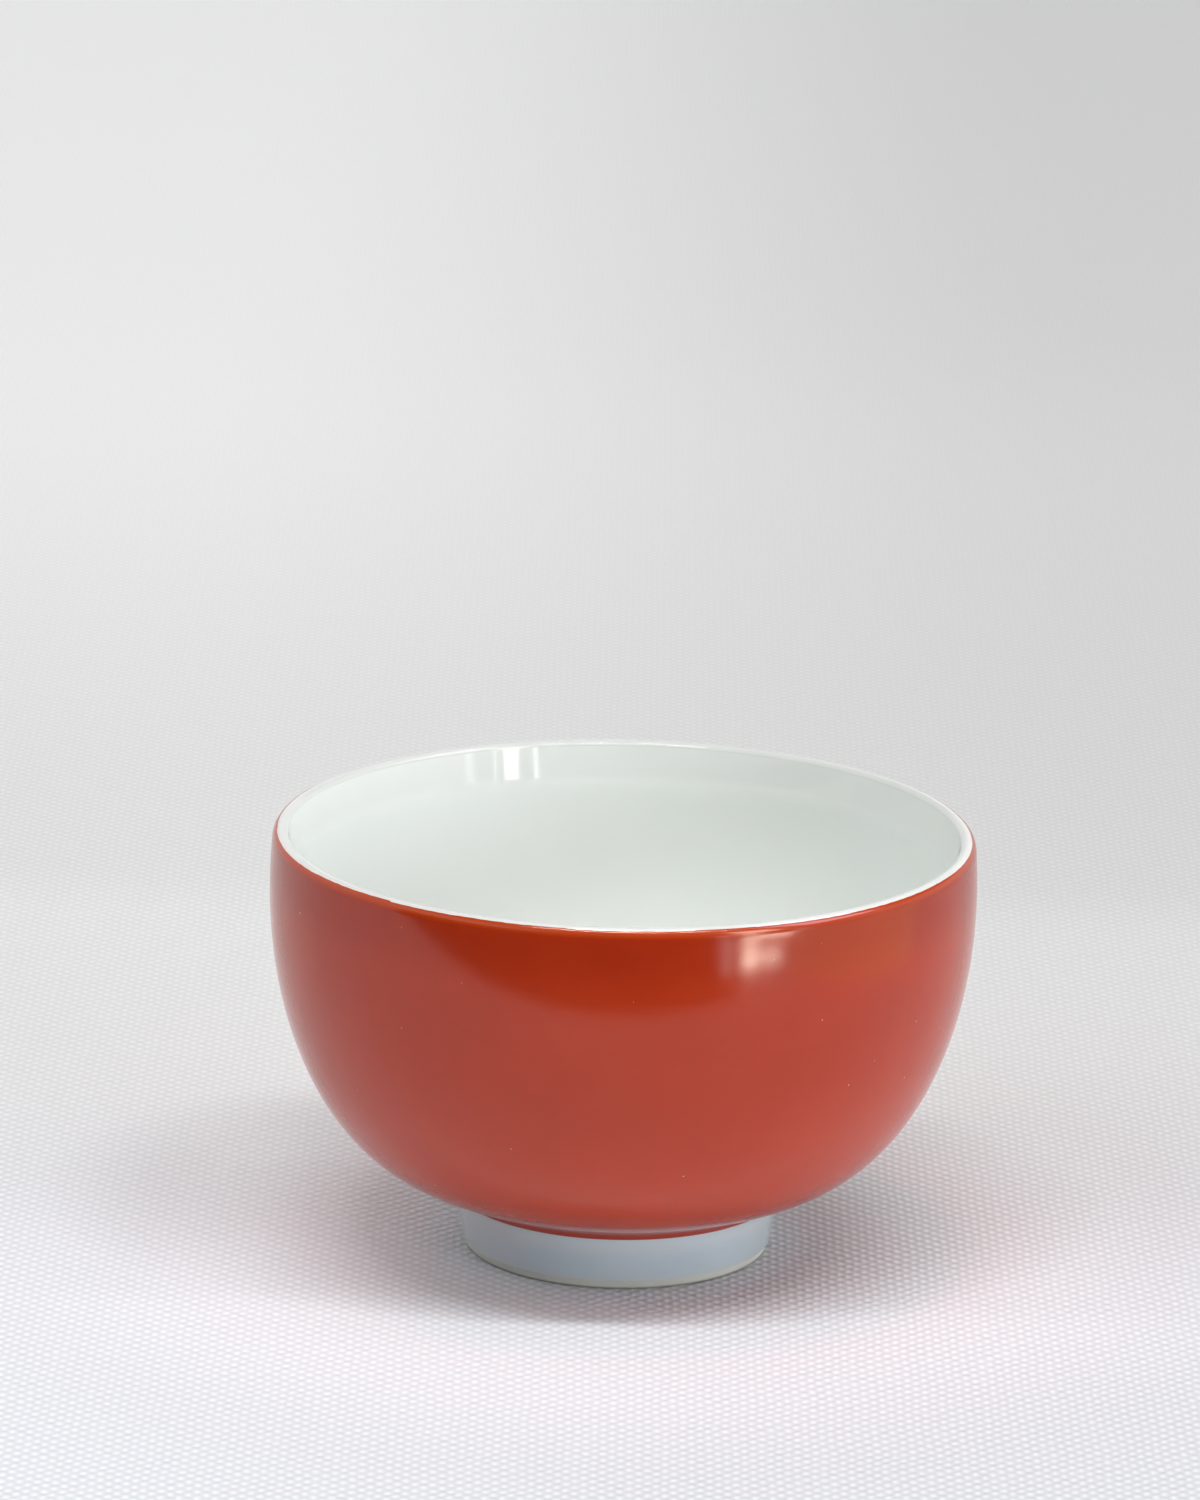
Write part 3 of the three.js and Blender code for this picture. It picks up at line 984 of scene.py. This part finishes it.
def window():
    """The bright window on the right, its streak on the table and the dark gap that cuts through it."""
    card("window", standing(WINDOW_LEFT, WINDOW_RIGHT, WINDOW_DISTANCE, 0, 1.0), WARM, 8)
    image = (WINDOW_LEFT, WINDOW_IMAGE_RIGHT)
    on_table("window_on_table", *image, WINDOW_IMAGE_START, WINDOW_IMAGE_DIMS, WARM, 22)
    on_table("window_far_on_table", *image, WINDOW_IMAGE_DIMS, WINDOW_IMAGE_END, WARM, 13)
    card("window_gap", standing(WINDOW_RIGHT, 57, ROOM_REACH, 0, 0.35), GREY)
    on_table("gap_on_table", WINDOW_RIGHT, 58, GLOW_END, STREAK_START, GREY)
    on_table("streak_on_table", WINDOW_IMAGE_RIGHT, 56, STREAK_START, ROOM_REACH, WARM, 19)
    on_table("glow_on_table", WINDOW_IMAGE_RIGHT, 53, 0.215, GLOW_END, WARM, 15)
    card("upper_window", standing(38, 53, UPPER_WINDOW_DISTANCE, 0.25, 0.55), WARM, 9)


def panes():
    """The narrow panes beside the window, and the dim room to its right."""
    card("left_pane", standing(31.5, 33.5, PANE_DISTANCE, 0, 0.35), WHITE, 4)
    on_table("left_pane_on_table", 31, 35, 0.18, 0.5, ROSE, 2)
    card("right_pane", standing(47.5, 48.7, PANE_DISTANCE, 0, PANE_TOP), WHITE, 2.5)
    card("far_pane", standing(56.5, 60, PANE_DISTANCE, 0, PANE_TOP), ICE, 1.8)
    card("dim_right", standing(60, 88, ROOM_REACH, 0, 0.45), TAUPE, 1)
    card("dim_right_floor", lying(57, 110, 0.17, ROOM_REACH), SAND, 1)
    card("pale_ceiling", lying(66, 102, 0.28, 0.95, PALE_CEILING_HEIGHT), MAUVE, 5)


def roof_lights():
    for i in range(ROOF_LIGHTS):
        x = ROOF_LIGHT_FIRST - ROOF_LIGHT_PITCH * i
        size = (ROOF_LIGHT_HALF_WIDTH, ROOF_LIGHT_HALF_LENGTH)
        corners = overhead(x, ROOF_LIGHT_ROW, *size, ROOF_LIGHT_HEIGHT)
        card(f"roof_light_{i}", corners, ROOF_LIGHT_COLOUR, ROOF_LIGHT_GLOW)


# Camera
def photo_camera():
    elevation = math.radians(CAMERA_ELEVATION)
    yaw, pitch, roll = (math.radians(turn) for turn in (CAMERA_YAW, CAMERA_PITCH, CAMERA_ROLL))
    forward = Vector((0, math.cos(elevation), -math.sin(elevation)))
    place = CAMERA_AIM - forward * CAMERA_DISTANCE
    right = Vector((1, 0, 0))
    up = right.cross(forward)
    forward = forward * math.cos(yaw) + right * math.sin(yaw)
    right = forward.cross(up).normalized()
    forward = forward * math.cos(pitch) + up * math.sin(pitch)
    up = right.cross(forward)
    right = right * math.cos(roll) + up * math.sin(roll)
    up = right.cross(forward)
    data = bpy.data.cameras.new("photo_camera")
    data.sensor_width = SENSOR_WIDTH
    data.lens = FOCAL_PIXELS * SENSOR_WIDTH / max(FRAME_WIDTH, FRAME_HEIGHT)
    data.clip_start = CLIP_START
    data.clip_end = CLIP_END
    camera = bpy.data.objects.new("photo_camera", data)
    bpy.context.scene.collection.objects.link(camera)
    turn = Matrix((right, up, -forward)).transposed().to_4x4()
    camera.matrix_world = Matrix.Translation(place) @ turn
    bpy.context.scene.camera = camera


cup_pieces()
table()
room()
lamps()
dark_front()
window()
panes()
roof_lights()
photo_camera()
bpy.context.scene.view_settings.view_transform = "Standard"
